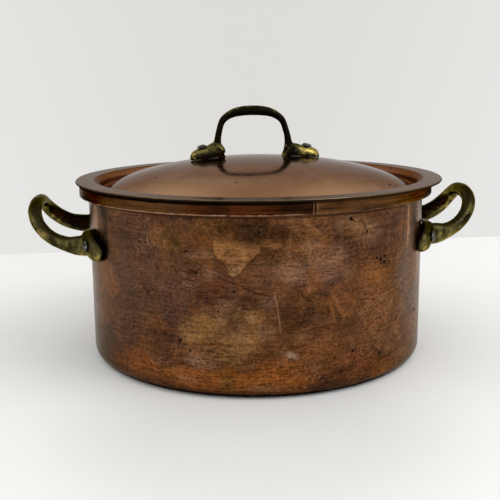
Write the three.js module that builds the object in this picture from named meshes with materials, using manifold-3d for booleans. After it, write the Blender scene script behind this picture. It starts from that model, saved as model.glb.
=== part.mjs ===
// Copper casserole with a drop-in lid, as an assembly of separate pieces.
// A spun pot with its rim turned out, a copper band brazed round that rim, two cast brass
// loop handles riveted to the wall, and a domed lid with a cast brass bail riveted to it.
// Millimetres, Z up, the origin at the centre of the base that the pot stands on.
import * as THREE from "three";
import { mergeVertices } from "three/addons/utils/BufferGeometryUtils.js";
import Module from "manifold-3d";

const wasm = await Module();
wasm.setup();

// Fits shared by all pieces
const clearance = 0.3;
const overrun = 3;
const weldDistance = 0.0001;

// Pot: one spun sheet of heavy copper
const potRadius = 120;
const potHeight = 125;
const wallThickness = 2;
const baseCorner = 8.5;
const rimTurn = 4.5;
const rimReach = 4.5;

// Band: a strip brazed round the turned-out rim, its ends meeting in one seam
const bandThickness = 1.5;
const bandHeight = 8.5;
const bandEdge = 0.5;
const seamGap = 0.4;
const seamBearing = THREE.MathUtils.degToRad(-74);

// Lid: a flat flange that rests on the rim, a well that drops into the mouth, and a dome
const lidSheet = 1.5;
const flangeRadius = 131;
const mouthPlay = 2.6;
const turnEase = 1.3;
const wellDepth = 8.3;
const valleyRadius = 2;
const valleyLean = THREE.MathUtils.degToRad(36);
const domeRise = 14;

// Side handles: cast loops that fan out where they leave the wall, narrow and turn up to the
// grip. Each was bent and fitted by hand, so its height, reach, rise and tilt are its own.
const loopSpread = 41;
const loopHalfDepth = 4.8;
const leftLoop = { height: 85.4, reach: 37.7, rise: 24.4, halfHeight: 4.3 };
const rightLoop = { height: 87.2, reach: 36.5, rise: 25.5, halfHeight: 4.8 };
const leftLoopBearing = THREE.MathUtils.degToRad(182);
const rightLoopBearing = THREE.MathUtils.degToRad(7);
const leftLoopTilt = THREE.MathUtils.degToRad(1);
const rightLoopTilt = THREE.MathUtils.degToRad(-0.3);
const loopFoot = { heel: 8.4, rivet: 10.5, toe: 22.5, halfWidth: 9.8, thickness: 8.2 };
const loopFootMiddle = 4.8;
const loopFootDroop = THREE.MathUtils.degToRad(13);

// Lid handle: a cast bail set a little behind the crown of the lid and turned. Its right foot
// is the longer one, and both are tilted so that they meet the dome at the toe.
const bailSpread = 25.8;
const bailRise = 32.5;
const bailHalfWidth = 4;
const bailHalfThickness = 3.6;
const bailOffset = new THREE.Vector2(-3.25, 8);
const bailBearing = THREE.MathUtils.degToRad(9);
const leftFootTilt = THREE.MathUtils.degToRad(11.3);
const rightFootTilt = THREE.MathUtils.degToRad(6.2);
const leftBailFoot = { heel: 4.8, rivet: 12, toe: 20.5, halfWidth: 7.5, thickness: 7.3 };
const rightBailFoot = { heel: 2.9, rivet: 14, toe: 23, halfWidth: 7.5, thickness: 7.3 };

// Rivets: one through each foot, hammered over outside and headed flat inside
const loopRivet = { shank: 3, head: 5.2, headHeight: 2.6, innerHead: 6.5, innerHeight: 1.6 };
const bailRivet = { shank: 2.4, head: 4.2, headHeight: 2.7, innerHead: 5.2, innerHeight: 1.4 };

// Centrelines from the foot to the middle of the grip, as shares of spread, reach and rise
const loopPathShares = [
  [1.08, -0.12, -0.03],
  [0.995, 0.2, -0.015],
  [0.9, 0.41, 0.045],
  [0.805, 0.6, 0.16],
  [0.71, 0.775, 0.36],
  [0.6, 0.91, 0.6],
  [0.445, 0.985, 0.81],
  [0.24, 1, 0.95],
  [0, 1, 1],
];
const bailPathShares = [
  [1.04, 0.06],
  [1.015, 0.32],
  [0.955, 0.55],
  [0.81, 0.775],
  [0.47, 0.93],
  [0, 1],
];

// Section of each bar from its root to the middle of its grip, in height or width and in depth
const loopHeightShares = [1.74, 1.68, 1.26, 1.02, 0.97, 0.96, 0.97, 0.99, 1.01, 1.03, 1.03];
const loopDepthShares = [1.16, 1.05, 1, 1, 1.02, 1.03];
const bailWidthShares = [1.2, 0.92, 0.82, 0.8, 0.9, 1];
const bailDepthShares = [1.2, 0.74, 0.67, 0.76, 0.95, 1];

// Feet: each row is a place from heel to toe, the half width and the height there
const loopFootShares = [
  [0, 0.46, 0.4],
  [0.1, 0.62, 0.8],
  [0.26, 0.82, 1.08],
  [0.44, 0.95, 1.02],
  [0.62, 0.95, 1],
  [0.76, 0.84, 0.96],
  [0.86, 0.7, 0.8],
  [0.95, 0.46, 0.6],
  [1, 0.22, 0.34],
];
const bailFootShares = [
  [0, 0.62, 0.24],
  [0.07, 0.78, 0.62],
  [0.2, 0.9, 1.1],
  [0.36, 0.98, 1.2],
  [0.52, 1, 1.06],
  [0.72, 0.95, 1],
  [0.92, 0.74, 0.8],
  [1, 0.4, 0.42],
];
const footRoundness = 2.6;

// Facets
const roundSides = 64;
const barSides = 12;
const barSteps = 32;
const footSides = 10;
const rivetSides = 14;

const copper = new THREE.MeshStandardMaterial({ color: 0x8c5638, roughness: 0.4, metalness: 1 });
const lidCopper = new THREE.MeshStandardMaterial({ color: 0x9a6a4c, roughness: 0.3, metalness: 1 });
const brass = new THREE.MeshStandardMaterial({ color: 0x7d6b32, roughness: 0.35, metalness: 1 });
const rivetMetal = new THREE.MeshStandardMaterial({ color: 0x7c7a74, roughness: 0.5, metalness: 1 });

// Sizes that follow from the ones above
const mouthRadius = potRadius - wallThickness;
const rimRadius = potRadius + rimReach;
const bandInner = rimRadius + clearance;
const plugRadius = mouthRadius - mouthPlay;
const lidShift = mouthPlay - clearance;
const wellTurn = rimTurn + lidSheet - turnEase;
const wellWall = plugRadius - lidSheet;
const flangeTop = potHeight + clearance + lidSheet;
const domeTop = flangeTop + domeRise;
const valleyHeight = flangeTop - wellDepth + valleyRadius;
const domeEdgeRadius = wellWall - valleyRadius * (1 + Math.sin(valleyLean));
const domeEdgeHeight = valleyHeight - valleyRadius * Math.cos(valleyLean);

const copperPot = new THREE.Group();

function addPiece(name, geometry, material) {
  const piece = new THREE.Mesh(geometry, material);
  piece.name = name;
  copperPot.add(piece);
}

// Solid from a closed geometry whose shared corners are merged
function solidOf(geometry) {
  const bare = geometry.clone();
  bare.deleteAttribute("normal");
  bare.deleteAttribute("uv");
  const merged = mergeVertices(bare, weldDistance);
  const vertProperties = merged.attributes.position.array;
  const triVerts = new Uint32Array(merged.index.array);
  return new wasm.Manifold(new wasm.Mesh({ numProp: 3, vertProperties, triVerts }));
}

// Geometry with flat facets from a solid
function geometryOf(solid) {
  const mesh = solid.getMesh();
  const geometry = new THREE.BufferGeometry();
  geometry.setAttribute("position", new THREE.BufferAttribute(mesh.vertProperties, 3));
  geometry.setIndex(new THREE.BufferAttribute(mesh.triVerts, 1));
  const faceted = geometry.toNonIndexed();
  faceted.computeVertexNormals();
  return faceted;
}

// Points of an arc about a centre, from one angle to another, both ends included
function arc(centreX, centreY, radius, from, to, steps) {
  return Array.from({ length: steps + 1 }, (_, i) => {
    const angle = from + ((to - from) * i) / steps;
    return new THREE.Vector2(centreX + radius * Math.cos(angle), centreY + radius * Math.sin(angle));
  });
}

// Solid of revolution about the Z axis from a profile of radius and height
function revolve(points, sides = roundSides) {
  return new THREE.LatheGeometry(points, sides).rotateX(Math.PI / 2);
}

// Closed skin over a row of rings with equal counts, each end closed by a fan
function loft(rings) {
  const count = rings[0].length;
  const centre = (ring) => ring.reduce((sum, p) => sum.add(p), new THREE.Vector3()).divideScalar(count);
  const points = [...rings.flat(), centre(rings[0]), centre(rings.at(-1))];
  const first = rings.length * count;
  const faces = [];
  for (let i = 0; i < count; i++) {
    const j = (i + 1) % count;
    faces.push(first, j, i);
    faces.push(first + 1, first - count + i, first - count + j);
    for (let k = 0; k < first - count; k += count) {
      faces.push(k + i, k + j, k + count + j);
      faces.push(k + i, k + count + j, k + count + i);
    }
  }
  return new THREE.BufferGeometry().setFromPoints(points).setIndex(faces);
}

// Value at a place from 0 to 1 in an evenly spaced table, joined by smooth steps
function tableValue(table, place) {
  const x = place * (table.length - 1);
  const i = Math.min(Math.floor(x), table.length - 2);
  return THREE.MathUtils.lerp(table[i], table[i + 1], THREE.MathUtils.smoothstep(x - i, 0, 1));
}

// Bar swept along a curve that starts and ends in its two feet, its section given across the
// curve's normal and binormal
function sweptBar(curve, halfWidth, widthShares, halfDepth, depthShares) {
  const frames = curve.computeFrenetFrames(barSteps, false);
  const rings = frames.tangents.map((_, step) => {
    const centre = curve.getPointAt(step / barSteps);
    const toMiddle = 1 - Math.abs((2 * step) / barSteps - 1);
    const width = halfWidth * tableValue(widthShares, toMiddle);
    const depth = halfDepth * tableValue(depthShares, toMiddle);
    return Array.from({ length: barSides }, (_, side) => {
      const angle = (2 * Math.PI * side) / barSides;
      return centre
        .clone()
        .addScaledVector(frames.normals[step], width * Math.cos(angle))
        .addScaledVector(frames.binormals[step], depth * Math.sin(angle));
    });
  });
  return solidOf(loft(rings));
}

// Foot lofted from heel to toe: a flat sole and a rounded back. The function place takes the
// way along the foot from the bar's axis, the way across, and the height above the sole.
function castFoot(foot, footShares, soleDepth, place) {
  const rings = footShares.map(([along, wide, high]) => {
    const way = along * (foot.heel + foot.toe) - foot.heel;
    const back = Array.from({ length: footSides + 1 }, (_, i) => {
      const angle = (Math.PI * i) / footSides;
      const across = Math.sign(Math.cos(angle)) * Math.abs(Math.cos(angle)) ** (2 / footRoundness);
      const height = Math.sin(angle) ** (2 / footRoundness);
      return place(way, across * wide * foot.halfWidth, height * high * foot.thickness);
    });
    const sole = [-1, 1].map((side) => place(way, side * wide * foot.halfWidth, -soleDepth));
    return soleDepth > 0 ? [...back, ...sole] : back;
  });
  return solidOf(loft(rings));
}

// Rivet along +Z: the head rests at zero height, the flat inner head lies below the grip
function rivetProfile(rivet, grip) {
  const crown = arc(0, 0, 1, 0, Math.PI / 2, 3).map(
    (p) => new THREE.Vector2(p.x * rivet.head, clearance + p.y * rivet.headHeight),
  );
  return [
    new THREE.Vector2(0, -grip - rivet.innerHeight),
    new THREE.Vector2(rivet.innerHead - rivet.innerHeight / 2, -grip - rivet.innerHeight),
    new THREE.Vector2(rivet.innerHead, -grip - rivet.innerHeight / 2),
    new THREE.Vector2(rivet.innerHead, -grip),
    new THREE.Vector2(rivet.shank, -grip),
    new THREE.Vector2(rivet.shank, clearance),
    ...crown,
  ];
}

// Cutter for the hole that a rivet's shank passes through, and for the flat under its head
function rivetHole(rivet, length) {
  const bore = rivet.shank + clearance;
  const flat = rivet.head + clearance;
  const corners = [
    [0, -length],
    [bore, -length],
    [bore, 0],
    [flat, 0],
    [flat, length],
    [0, length],
  ];
  return revolve(corners.map(([x, y]) => new THREE.Vector2(x, y)), rivetSides);
}

// Height of a side handle's tilted line at a place beside its middle
function loopLineHeight(loop, beside) {
  return loop.height + beside * Math.tan(loop.tilt);
}

// Place of a rivet that points out from the pot's axis through a side handle's foot
function loopRivetMatrix(loop, side) {
  const angle = side * (Math.asin(loopSpread / potRadius) + loopFoot.rivet / potRadius);
  const out = potRadius + clearance + loopFoot.thickness;
  const height = loopLineHeight(loop, out * Math.sin(angle));
  return new THREE.Matrix4()
    .makeRotationZ(loop.bearing + angle)
    .multiply(new THREE.Matrix4().makeTranslation(out, 0, height))
    .multiply(new THREE.Matrix4().makeRotationY(Math.PI / 2));
}

// Height of the dome's outer face at a distance from the lid's axis
function domeHeight(radius) {
  const share = radius / domeEdgeRadius;
  const roundShare = 0.7;
  const fall = roundShare * share ** 2 + (1 - roundShare) * share ** 8;
  return domeTop - (domeTop - domeEdgeHeight) * fall;
}

// Place of a point on the bail: the way along it, the way across it and a height
function bailPoint(along, across, height) {
  const point = new THREE.Vector3(along, across, height);
  point.applyAxisAngle(new THREE.Vector3(0, 0, 1), bailBearing);
  return point.add(new THREE.Vector3(lidShift + bailOffset.x, bailOffset.y, 0));
}

// Height of the dome under a place on the bail's line
function domeUnderBail(along) {
  const point = bailPoint(along, 0, 0);
  return domeHeight(Math.hypot(point.x - lidShift, point.y));
}

// Height of the tilted sole of one bail foot, which meets the dome at its toe
function footSoleHeight({ side, tilt, foot }, way) {
  const toe = domeUnderBail(side * (bailSpread + foot.toe)) + clearance;
  return toe + (foot.toe - way) * Math.tan(tilt);
}

// Place of a rivet square to the sole of one foot of the bail
function bailRivetMatrix(end) {
  const { side, tilt, foot } = end;
  const sole = footSoleHeight(end, foot.rivet);
  const seat = bailPoint(side * (bailSpread + foot.rivet), 0, sole + foot.thickness);
  return new THREE.Matrix4()
    .makeTranslation(seat.x, seat.y, seat.z)
    .multiply(new THREE.Matrix4().makeRotationZ(bailBearing))
    .multiply(new THREE.Matrix4().makeRotationY(side * tilt));
}

// Distance from a rivet's seat on the foot to its inner head, through foot and wall
const loopGrip = loopFoot.thickness + wallThickness + 3 * clearance;

// The same through a bail foot and the lid's sheet, so that the inner head's whole rim clears
function bailGrip(end) {
  const { side, tilt, foot } = end;
  const seat = footSoleHeight(end, foot.rivet) + foot.thickness;
  const through = foot.thickness + lidSheet;
  const grips = [-1, 0, 1].map((edge) => {
    const way = edge * bailRivet.innerHead * Math.cos(tilt) - through * Math.sin(tilt);
    const dome = domeUnderBail(side * (bailSpread + foot.rivet + way));
    const fall = edge * bailRivet.innerHead * Math.sin(tilt);
    return (seat - fall - dome + lidSheet + clearance) / Math.cos(tilt);
  });
  return Math.max(...grips);
}

const loopPlaces = [
  { name: "left", bearing: leftLoopBearing, tilt: leftLoopTilt, ...leftLoop },
  { name: "right", bearing: rightLoopBearing, tilt: rightLoopTilt, ...rightLoop },
];
const loopEnds = [
  { name: "front", side: -1 },
  { name: "rear", side: 1 },
];
const bailEnds = [
  { name: "left", side: -1, tilt: leftFootTilt, foot: leftBailFoot },
  { name: "right", side: 1, tilt: rightFootTilt, foot: rightBailFoot },
];

// Turning sense that puts a handle's front foot towards -Y on either side of the pot
const towardsFront = (bearing) => (Math.cos(bearing) < 0 ? -1 : 1);

// Pot wall, turned-out rim and base in one closed profile
function makePot() {
  const quarter = Math.PI / 2;
  const turnRadius = mouthRadius + rimTurn;
  const turnHeight = potHeight - rimTurn;
  const innerCorner = baseCorner - wallThickness;
  const profile = [
    new THREE.Vector2(0, 0),
    ...arc(potRadius - baseCorner, baseCorner, baseCorner, -quarter, 0, 4),
    ...arc(turnRadius, turnHeight, rimTurn - wallThickness, 2 * quarter, quarter, 3),
    new THREE.Vector2(rimRadius, potHeight - wallThickness),
    new THREE.Vector2(rimRadius, potHeight),
    ...arc(turnRadius, turnHeight, rimTurn, quarter, 2 * quarter, 4),
    ...arc(potRadius - baseCorner, baseCorner, innerCorner, 0, -quarter, 4),
    new THREE.Vector2(0, wallThickness),
  ];
  let pot = solidOf(revolve(profile));
  for (const loop of loopPlaces) {
    for (const { side } of loopEnds) {
      const hole = rivetHole(loopRivet, loopGrip + overrun);
      pot = pot.subtract(solidOf(hole.applyMatrix4(loopRivetMatrix(loop, side))));
    }
  }
  addPiece("pot_body", geometryOf(pot), copper);
}

// Band with both outer edges eased, cut through once at its seam
function makeBand() {
  const outer = bandInner + bandThickness;
  const bottom = potHeight - bandHeight;
  const profile = [
    [bandInner, bottom],
    [outer - bandEdge, bottom],
    [outer, bottom + bandEdge],
    [outer, potHeight - bandEdge],
    [outer - bandEdge, potHeight],
    [bandInner, potHeight],
    [bandInner, bottom],
  ];
  const ring = solidOf(revolve(profile.map(([x, y]) => new THREE.Vector2(x, y))));
  const cutter = new THREE.BoxGeometry(2 * bandThickness + 2 * overrun, seamGap, bandHeight + 2 * overrun);
  cutter.translate(outer, 0, bottom + bandHeight / 2).rotateZ(seamBearing);
  addPiece("rim_band", geometryOf(ring.subtract(solidOf(cutter))), copper);
}

// Outer face of the lid, from the crown out to the flange, then a round edge and the underside
function makeLid() {
  const quarter = Math.PI / 2;
  const domeShares = [0, 0.28, 0.5, 0.69, 0.84, 0.94];
  const turnRadius = wellWall + wellTurn;
  const edge = lidSheet / 2;
  const top = [
    ...domeShares.map((share) => share * domeEdgeRadius).map((r) => new THREE.Vector2(r, domeHeight(r))),
    ...arc(wellWall - valleyRadius, valleyHeight, valleyRadius, -quarter - valleyLean, 0, 3),
    ...arc(turnRadius, flangeTop - wellTurn, wellTurn, 2 * quarter, quarter, 4),
    new THREE.Vector2(flangeRadius - edge, flangeTop),
  ];
  const rim = arc(flangeRadius - edge, flangeTop - edge, edge, quarter, -quarter, 4).slice(1, -1);
  const profile = [...top, ...rim, ...underside(top, lidSheet)];
  let lid = solidOf(revolve(profile.reverse()).translate(lidShift, 0, 0));
  for (const end of bailEnds) {
    const hole = rivetHole(bailRivet, bailGrip(end) + overrun);
    lid = lid.subtract(solidOf(hole.applyMatrix4(bailRivetMatrix(end))));
  }
  addPiece("lid", geometryOf(lid), lidCopper);
}

// Points one sheet below a profile that runs outwards from the axis, in return order
function underside(top, thickness) {
  const offset = top.map((point, i) => {
    const before = top[Math.max(i - 1, 0)];
    const after = top[Math.min(i + 1, top.length - 1)];
    const into = new THREE.Vector2().subVectors(point, before).normalize();
    const outOf = new THREE.Vector2().subVectors(after, point).normalize();
    const along = new THREE.Vector2().addVectors(into, outOf).normalize();
    const down = new THREE.Vector2(along.y, -along.x);
    const mitre = i === 0 ? 1 : Math.max(along.dot(outOf.length() ? outOf : into), 0.5);
    return point.clone().addScaledVector(down, thickness / mitre);
  });
  offset[0].x = 0;
  return offset.reverse();
}

// One cast side handle: loop and two feet joined, seated on the wall and bored for rivets
function makeLoopHandle(loop) {
  const half = loopPathShares.map(([wide, out, up]) => [wide * loopSpread, out * loop.reach, up * loop.rise]);
  const whole = [...half, ...half.slice(0, -1).reverse().map(([wide, out, up]) => [-wide, out, up])];
  const places = whole.map(
    ([wide, out, up]) => new THREE.Vector3(potRadius + out, wide, loopLineHeight(loop, wide) + up),
  );
  const curve = new THREE.CatmullRomCurve3(places);
  let casting = sweptBar(curve, loop.halfHeight, loopHeightShares, loopHalfDepth, loopDepthShares);
  const rootBearing = Math.asin(loopSpread / potRadius);
  for (const { side } of loopEnds) {
    const onWall = (way, across, lift) => {
      const angle = rootBearing + way / potRadius;
      const out = potRadius + clearance + lift;
      const beside = side * out * Math.sin(angle);
      const line = loopLineHeight(loop, beside) - (way - loopFootMiddle) * Math.tan(loopFootDroop);
      return new THREE.Vector3(out * Math.cos(angle), beside, line + side * across);
    };
    casting = casting.add(castFoot(loopFoot, loopFootShares, overrun, onWall));
  }
  const turn = new THREE.Matrix4().makeRotationZ(loop.bearing);
  let handle = solidOf(geometryOf(casting).applyMatrix4(turn));
  const wall = [
    [0, 0],
    [potRadius + clearance, 0],
    [potRadius + clearance, potHeight],
    [0, potHeight],
  ];
  handle = handle.subtract(solidOf(revolve(wall.map(([x, y]) => new THREE.Vector2(x, y)))));
  for (const { side } of loopEnds) {
    const hole = rivetHole(loopRivet, loopGrip + overrun);
    handle = handle.subtract(solidOf(hole.applyMatrix4(loopRivetMatrix(loop, side))));
  }
  addPiece(`side_handle_${loop.name}`, geometryOf(handle), brass);
  for (const { name, side } of loopEnds) {
    const rivet = revolve(rivetProfile(loopRivet, loopGrip), rivetSides);
    rivet.applyMatrix4(loopRivetMatrix(loop, towardsFront(loop.bearing) * side));
    addPiece(`rivet_${loop.name}_${name}`, rivet, rivetMetal);
  }
}

// The lid's cast bail: loop and two feet joined, cleared over the dome and bored for rivets
function makeBail() {
  const half = bailPathShares.map(([wide, up]) => [wide * bailSpread, domeTop + up * bailRise]);
  const whole = [...half, ...half.slice(0, -1).reverse().map(([wide, up]) => [-wide, up])];
  const curve = new THREE.CatmullRomCurve3(whole.map(([wide, up]) => bailPoint(wide, 0, up)));
  let casting = sweptBar(curve, bailHalfWidth, bailWidthShares, bailHalfThickness, bailDepthShares);
  for (const end of bailEnds) {
    const onDome = (way, across, lift) =>
      bailPoint(end.side * (bailSpread + way), end.side * across, footSoleHeight(end, way) + lift);
    casting = casting.add(castFoot(end.foot, bailFootShares, 0, onDome));
  }
  const steps = 12;
  const dome = Array.from({ length: steps + 1 }, (_, i) => {
    const radius = domeEdgeRadius * (1 - i / steps);
    return new THREE.Vector2(radius, domeHeight(radius) + clearance);
  });
  const floor = potHeight - overrun;
  const under = [new THREE.Vector2(0, floor), new THREE.Vector2(domeEdgeRadius, floor)];
  casting = casting.subtract(solidOf(revolve([...under, ...dome]).translate(lidShift, 0, 0)));
  for (const end of bailEnds) {
    const hole = rivetHole(bailRivet, bailGrip(end) + overrun);
    casting = casting.subtract(solidOf(hole.applyMatrix4(bailRivetMatrix(end))));
    const rivet = revolve(rivetProfile(bailRivet, bailGrip(end)), rivetSides);
    rivet.applyMatrix4(bailRivetMatrix(end));
    addPiece(`lid_rivet_${end.name}`, rivet, rivetMetal);
  }
  addPiece("lid_handle", geometryOf(casting), brass);
}

makePot();
makeBand();
loopPlaces.forEach(makeLoopHandle);
makeLid();
makeBail();

export default copperPot;
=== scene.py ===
# Copper cooking pot with a drop-in lid, dressed round the frame that holds its sizes. Metres, Z up.
from functools import partialmethod, reduce
from math import cos, pi, radians, sin, tan

import bmesh
import bpy
import numpy as np
from mathutils import Matrix, Vector


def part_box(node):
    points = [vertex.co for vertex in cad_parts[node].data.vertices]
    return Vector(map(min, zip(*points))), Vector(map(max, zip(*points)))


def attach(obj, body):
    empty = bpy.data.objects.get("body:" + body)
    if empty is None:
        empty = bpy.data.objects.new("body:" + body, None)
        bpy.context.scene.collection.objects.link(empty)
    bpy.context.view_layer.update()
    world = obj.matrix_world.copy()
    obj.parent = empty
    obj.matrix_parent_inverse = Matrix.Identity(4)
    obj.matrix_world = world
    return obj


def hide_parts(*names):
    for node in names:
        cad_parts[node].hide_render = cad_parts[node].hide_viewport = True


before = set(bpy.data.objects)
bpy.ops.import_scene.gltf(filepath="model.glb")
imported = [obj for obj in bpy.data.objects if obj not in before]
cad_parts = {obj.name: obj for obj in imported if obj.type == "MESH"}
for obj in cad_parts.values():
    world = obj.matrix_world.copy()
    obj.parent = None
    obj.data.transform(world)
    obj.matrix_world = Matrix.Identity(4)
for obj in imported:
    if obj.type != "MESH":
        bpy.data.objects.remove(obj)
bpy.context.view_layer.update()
scene = bpy.context.scene


# Camera: it stands a little to the left of the pot's middle, higher than the rim, and looks down
# at the front. Its lens and its slight roll follow the outlines that the photograph shows.
camera_place = Vector((-0.0042, -0.6044, 0.1944))
camera_pitch = radians(11.54)
camera_roll = radians(0.55)
camera_lens = 59.7

camera = bpy.data.objects.new("camera", bpy.data.cameras.new("camera"))
camera.data.lens = camera_lens
camera.matrix_world = (
    Matrix.Translation(camera_place)
    @ Matrix.Rotation(pi / 2 - camera_pitch, 4, "X")
    @ Matrix.Rotation(-camera_roll, 4, "Z")
)
scene.collection.objects.link(camera)
scene.camera = camera
scene.view_settings.view_transform = "Standard"


# Studio: a broad pale sheet lies under the pot and ends behind it at a pale grey wall, which is
# clear from behind. The light is soft and comes from all round, with one large lamp to the right
# that throws a faint shadow left.
sheet_half = 3
sheet_tints = ((0.80, 0.80, 0.79, 1), (0.925, 0.925, 0.91, 1))
# painted shadow of the pot: the sheet darkens a little round this place in front of it,
# over these distances
shadow_place = (0, -0.17, 0)
shadow_near, shadow_far = 0.05, 0.15
wall_distance = 0.376
wall_turn = radians(8)
wall_tints = ((0.725, 0.718, 0.698, 1), (0.800, 0.795, 0.780, 1))
room_colour = (0.92, 0.92, 0.92, 1)
lamp_target = Vector((0, 0, 0.08))
# name, place, width across and power
lamps = (
    ("right_lamp", (0.9, -0.5, 1.1), 0.9, 5),
    ("left_lamp", (-1.1, -0.3, 0.9), 0.9, 1.5),
)


class Field:
    """A number, colour or place that varies over a surface: one output of a shader node tree."""

    def __init__(self, tree, socket):
        self.tree = tree
        self.socket = socket

    def node(self, kind, inputs=(), output=0, **settings):
        """Any shader node. Its inputs, by name or in their order, are each a value or a link."""
        made = self.tree.nodes.new("ShaderNode" + kind)
        for name, value in settings.items():
            setattr(made, name, value)
        for name, value in inputs.items() if isinstance(inputs, dict) else enumerate(inputs):
            if isinstance(value, Field):
                self.tree.links.new(value.socket, made.inputs[name])
            else:
                made.inputs[name].default_value = value
        return Field(self.tree, made.outputs[output])

    def maths(self, operation, *others):
        return self.node("Math", (self, *others), operation=operation)

    def vector(self, operation, *others, output="Vector"):
        return self.node("VectorMath", (self, *others), output, operation=operation)

    __add__ = __radd__ = partialmethod(maths, "ADD")
    __sub__ = partialmethod(maths, "SUBTRACT")
    __rsub__ = partialmethod(maths, "MULTIPLY_ADD", -1)
    __mul__ = __rmul__ = partialmethod(maths, "MULTIPLY")
    __truediv__ = partialmethod(maths, "DIVIDE")
    __abs__ = partialmethod(maths, "ABSOLUTE")
    least = partialmethod(maths, "MINIMUM")
    most = partialmethod(maths, "MAXIMUM")

    def between(self, low, high):
        """A soft step: 0 at the low value, 1 at the high one."""
        values = {"Value": self, "From Min": low, "From Max": high}
        return self.node("MapRange", values, interpolation_type="SMOOTHSTEP")

    def tint(self, below, above):
        """The colour below where this is 0, and the colour above where it is 1."""
        # a colour mix has its factor and colours as inputs 0, 6 and 7, and its result as output 2
        return self.node("Mix", {0: self, 6: below, 7: above}, 2, data_type="RGBA")

    def shade(self, below, above):
        """The shader below where this is 0, and the shader above where it is 1."""
        return self.node("MixShader", (self, below, above))

    def matt(self, colour):
        """Dull paint or soot."""
        return self.node("BsdfDiffuse", {"Color": colour})

    def metal(self, colour, roughness, height, bump, edge):
        """Bare metal with a fine relief of this depth, and this tint at its edges."""
        lift = self.node("Bump", {"Strength": 1, "Distance": bump, "Height": height})
        values = {"Base Color": colour, "Roughness": roughness, "Metallic": 1, "Normal": lift}
        return self.node("BsdfPrincipled", {**values, "Specular Tint": (*edge, 1)})

    def close(self):
        """Joins this finished shader to its material's output."""
        output = self.tree.nodes.new("ShaderNodeOutputMaterial")
        self.tree.links.new(self.socket, output.inputs["Surface"])

    def ramp(self, *stops):
        """A colour from a ramp with these stops, each a place and a colour."""
        made = self.node("ValToRGB", {"Fac": self})
        elements = made.socket.node.color_ramp.elements
        while len(elements) < len(stops):
            elements.new(1)
        for element, (place, colour) in zip(elements, stops):
            element.position = place
            element.color = colour
        return made

    def noise(self, scale, detail=4, roughness=0.55, warp=0, output=0):
        values = {"Vector": self, "Scale": scale, "Detail": detail, "Roughness": roughness}
        return self.node("TexNoise", {**values, "Distortion": warp}, output)

    def cells(self, scale):
        return self.node("TexVoronoi", {"Vector": self, "Scale": scale})

    def along(self, way):
        """A step of this length along a fixed way."""
        return self.node("VectorMath", {0: way, "Scale": self}, operation="SCALE")

    def stretched(self, x, y, z):
        """A place with each of its parts multiplied."""
        return self.vector("MULTIPLY", (x, y, z))

    def apart(self, place):
        """Distance from a place."""
        return self.vector("DISTANCE", place, output="Value")

    def part(self, letter):
        return self.node("SeparateXYZ", {"Vector": self}, letter)

    def from_axis(self, x=0):
        """Distance from an upright line through y = 0."""
        return self.stretched(1, 1, 0).apart((x, 0, 0))

    def bearing(self):
        """Angle round the pot's axis from the front to the right, in radians."""
        return self.part("X").maths("ARCTAN2", self.part("Y") * -1)


def new_material(name):
    """An empty material, and the object coordinates of its node tree."""
    made = bpy.data.materials.new(name)
    made.use_nodes = True
    made.node_tree.nodes.clear()
    return made, Field(made.node_tree, None).node("TexCoord", output="Object")


def flat_panel(name, corners, finish):
    """One flat four-cornered surface of the studio."""
    mesh = bpy.data.meshes.new(name)
    mesh.from_pydata(corners, [], [(0, 1, 2, 3)])
    mesh.materials.append(finish)
    panel = bpy.data.objects.new(name, mesh)
    scene.collection.objects.link(panel)


world = bpy.data.worlds.new("studio")
scene.world = world
world.use_nodes = True
world.node_tree.nodes["Background"].inputs["Color"].default_value = room_colour

sheet_finish, place = new_material("pale_sheet")
# painted shadow: the pot's soft shadow is painted into the sheet's colour
sheet_tint = place.apart(shadow_place).between(shadow_near, shadow_far).tint(*sheet_tints)
place.matt(sheet_tint).close()
ends = [(x * sheet_half, y * sheet_half, 0) for x, y in ((-1, -1), (1, -1), (1, 1), (-1, 1))]
flat_panel("pale_sheet", ends, sheet_finish)

wall_finish, place = new_material("pale_wall")
off_middle = abs(place.part("X")) + (0.25 - place.part("Z")) * 0.35
wall_tint = off_middle.between(0.02, 0.42).tint(*wall_tints)
rays = ("Is Camera Ray", "Is Glossy Ray", "Is Transmission Ray")
shown = sum(place.node("LightPath", output=ray) for ray in rays).least(1)
glow = place.node("Emission", {"Color": wall_tint, "Strength": 1})
from_behind = place.node("NewGeometry", output="Backfacing")
clear = place.node("BsdfTransparent")
from_behind.shade(shown.shade(place.matt(wall_tint), glow), clear).close()
wall_run = np.array([cos(wall_turn), sin(wall_turn)]) * sheet_half
corners = ((-1, 0), (1, 0), (1, 1), (-1, 1))
ends = [(x * wall_run[0], wall_distance + x * wall_run[1], z * sheet_half) for x, z in corners]
flat_panel("pale_wall", ends, wall_finish)

for name, at, size, power in lamps:
    lamp_data = bpy.data.lights.new(name, "AREA")
    lamp_data.shape = "DISK"
    lamp_data.size = size
    lamp_data.energy = power
    lamp = bpy.data.objects.new(name, lamp_data)
    lamp.location = at
    aim = lamp_target - Vector(at)
    lamp.rotation_euler = aim.to_track_quat("-Z", "Y").to_euler()
    scene.collection.objects.link(lamp)


# Pot: one spun sheet of heavy copper, drawn to a flat base with a small round corner, its rim
# turned out. The outside is aged and scratched, and the inside has a dull lining of tin.
pot_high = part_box("pot_body")[1]
wall_sheet = 0.002
rim_reach = 0.0045
wall_radius = pot_high.x - rim_reach
pot_height = pot_high.z
base_corner = 0.0085
rim_turn = 0.0045
turns = 384
to_mm = 1000
# depth and length of the wall's shallow dents, how far below the rim they begin, and the heights
# over which they deepen there and above the base
wall_wave, dent_length = 0.00022, 0.07
below_rim, rim_fade, base_fade = 0.012, 0.02, 0.004


def arc(across, up, radius, start, end, steps):
    """Points of an arc about a centre, from one angle to another."""
    angle = np.linspace(start, end, steps)
    return np.stack([across + radius * np.cos(angle), up + radius * np.sin(angle)], -1)


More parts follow.
